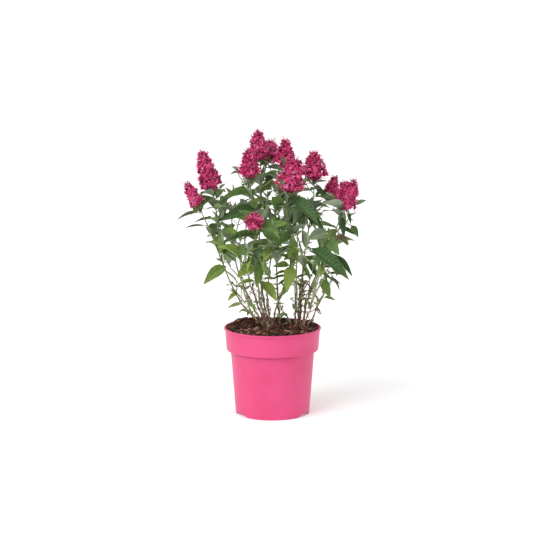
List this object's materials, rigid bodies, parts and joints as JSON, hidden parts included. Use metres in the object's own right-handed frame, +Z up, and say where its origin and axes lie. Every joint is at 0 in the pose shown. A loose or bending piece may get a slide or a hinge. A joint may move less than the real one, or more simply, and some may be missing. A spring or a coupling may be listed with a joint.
{
  "type": "potted butterfly bush",
  "caption": "Dwarf butterfly bush in flower: slim canes, lance-shaped leaves and cone-shaped pink flower heads, in a round plastic pot with a wide rim band.",
  "frame": {"origin": "centre of the pot's flat underside", "axes": "+Z up along the pot's axis, -Y towards the viewer of the picture, +X to the viewer's right"},
  "size_m": [0.3649, 0.3206, 0.556],
  "materials": {
    "pot_plastic": "satin pink moulded plastic",
    "compost": "damp bark and peat, rough",
    "cane_bark": "thin brown bark below, green and downy above",
    "foliage": "matte green leaves with grey felted undersides",
    "blossom": "soft crimson pink petals"
  },
  "bodies": {
    "root": {"pot": "pot_plastic", "soil": "compost", "cane_left": "cane_bark", "cane_left_inner": "cane_bark", "cane_left_front": "cane_bark", "cane_middle_left": "cane_bark", "cane_middle": "cane_bark", "cane_middle_back": "cane_bark", "cane_middle_right": "cane_bark", "cane_low": "cane_bark", "cane_right_front": "cane_bark", "cane_right_middle": "cane_bark", "cane_right": "cane_bark", "cane_right_low": "cane_bark", "cane_front_right": "cane_bark", "cane_back_left": "cane_bark", "cane_back": "cane_bark", "cane_back_right": "cane_bark", "foliage_left": "foliage", "foliage_left_inner": "foliage", "foliage_left_front": "foliage", "foliage_middle_left": "foliage", "foliage_middle": "foliage", "foliage_middle_back": "foliage", "foliage_middle_right": "foliage", "foliage_low": "foliage", "foliage_right_front": "foliage", "foliage_right_middle": "foliage", "foliage_right": "foliage", "foliage_right_low": "foliage", "foliage_front_right": "foliage", "foliage_back_left": "foliage", "foliage_back": "foliage", "foliage_back_right": "foliage"}
  },
  "joints": []
}
